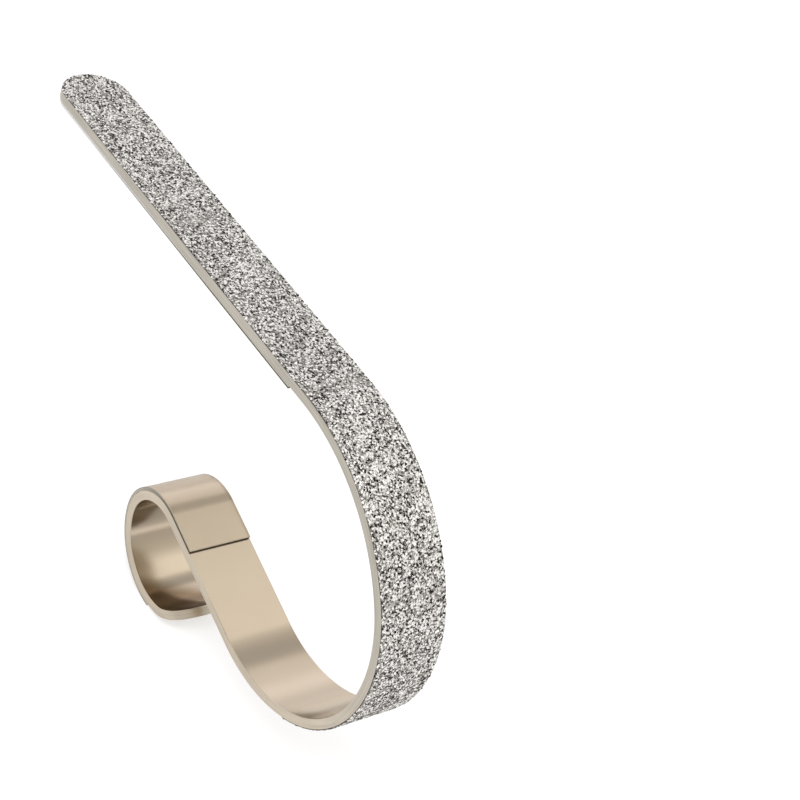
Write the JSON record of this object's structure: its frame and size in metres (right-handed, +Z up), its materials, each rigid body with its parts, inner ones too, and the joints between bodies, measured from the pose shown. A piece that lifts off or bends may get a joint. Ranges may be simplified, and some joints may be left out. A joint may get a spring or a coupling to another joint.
{
  "type": "mantel stocking holder",
  "caption": "Bent satin-nickel band that clips on a mantel shelf: straight glitter-covered arm, round bow that holds a stocking's loop, and a curl that presses up from below.",
  "frame": {"origin": "middle of the underside of the arm's grip pad, the face that lies on the shelf", "axes": "+Z up, out of the shelf's top; +Y along the arm towards the wall; X across the band, so the glitter bow faces -Y"},
  "size_m": [0.016, 0.1562, 0.0881],
  "materials": {
    "satin_nickel": "satin nickel plate with a warm champagne tone, softly polished",
    "silver_glitter": "film covered with loose-set silver glitter flakes, light and dark",
    "clear_grip": "clear soft film with a glossy face and darker cut edges"
  },
  "bodies": {
    "root": {"steel_band": "satin_nickel", "glitter_cover": "silver_glitter", "arm_grip_pad": "clear_grip", "curl_grip_pad": "clear_grip"}
  },
  "joints": []
}
